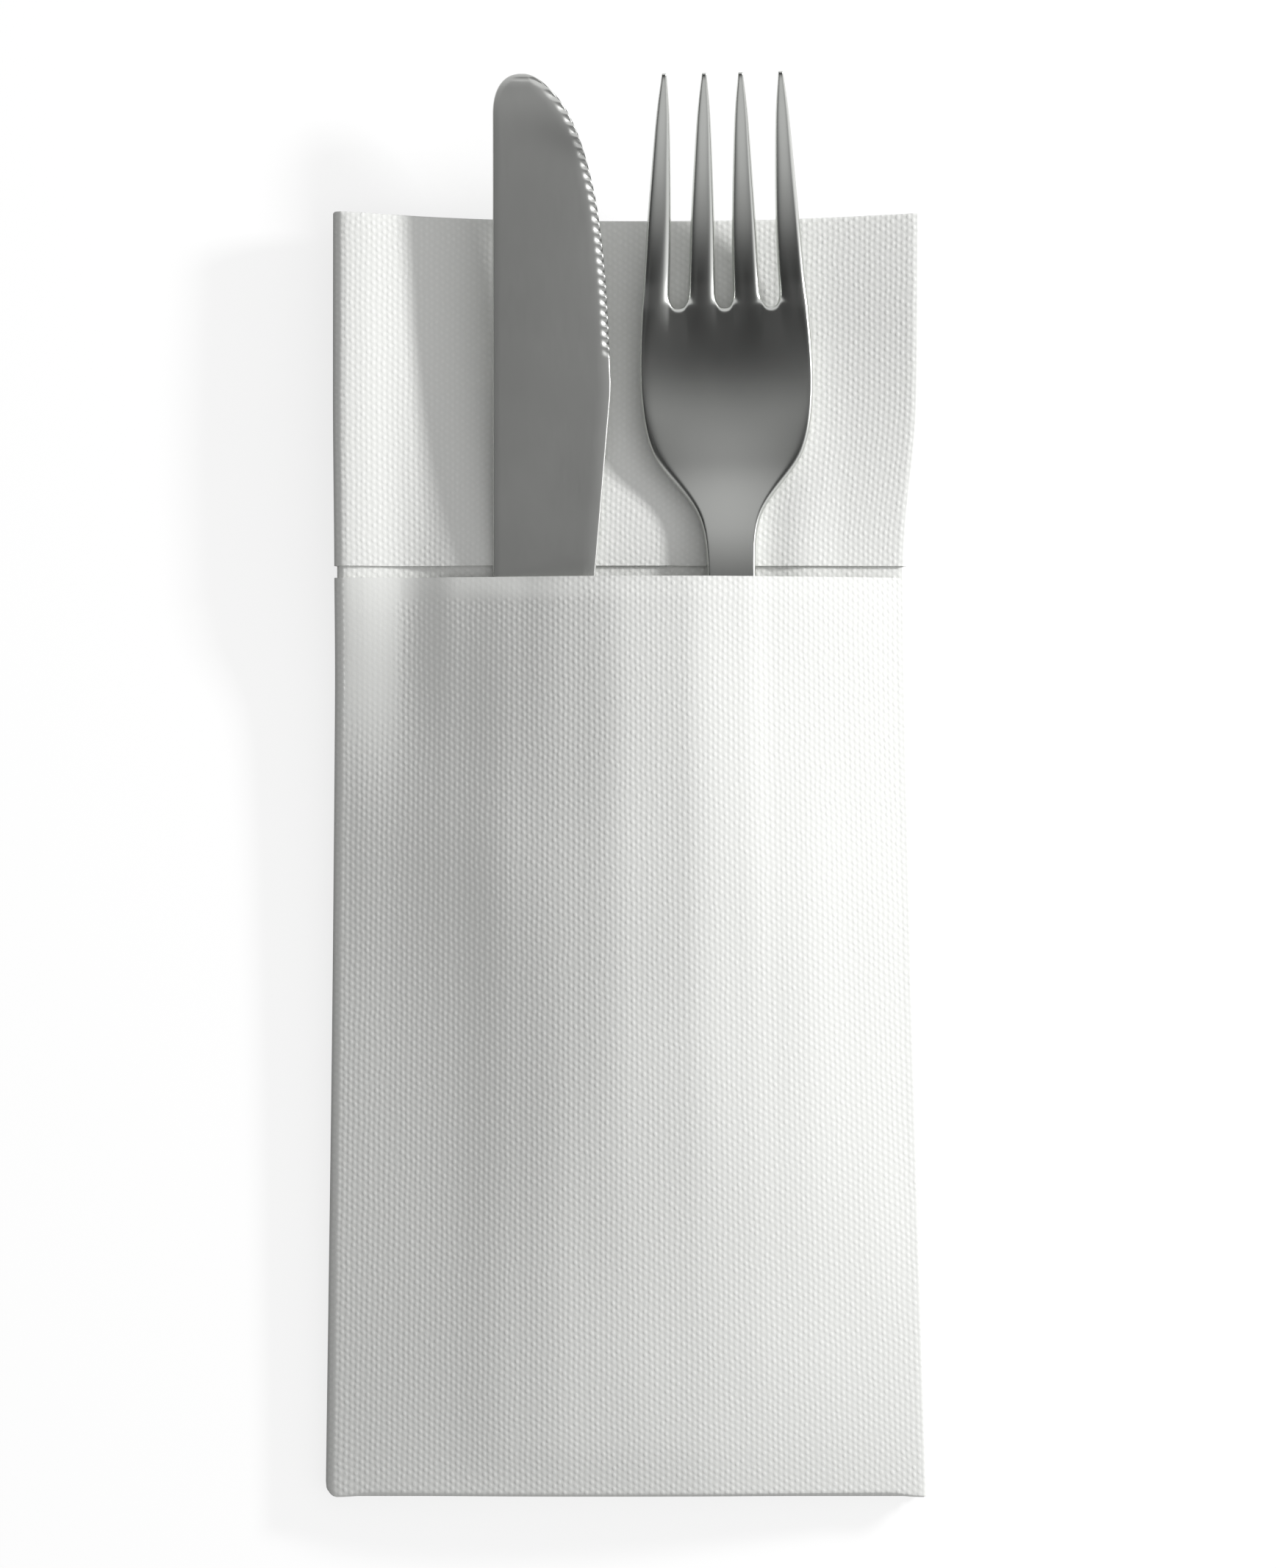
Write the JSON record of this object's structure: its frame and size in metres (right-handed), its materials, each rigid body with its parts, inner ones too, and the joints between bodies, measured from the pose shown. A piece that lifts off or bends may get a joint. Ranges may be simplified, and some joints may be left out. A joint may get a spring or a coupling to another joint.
{
  "type": "cutlery pouch napkin",
  "caption": "Embossed paper napkin folded to a flat packet with an open pouch on its front, holding a serrated table knife and a table fork, lying on its back.",
  "frame": {"origin": "middle of the bottom of the whole object's box, with the folded packet lying on its back", "axes": "+Z up, out of the pouch's front; +Y from the napkin's bottom fold to the tips of the knife and the fork; +X to the right of someone who looks down at the pouch with +Y up"},
  "size_m": [0.1008, 0.2388, 0.0194],
  "materials": {
    "napkin": "white, matt, with a fine linen-like emboss",
    "knife": "satin stainless steel",
    "fork": "polished stainless steel"
  },
  "bodies": {
    "root": {"napkin": "napkin", "knife": "knife", "fork": "fork"}
  },
  "joints": []
}
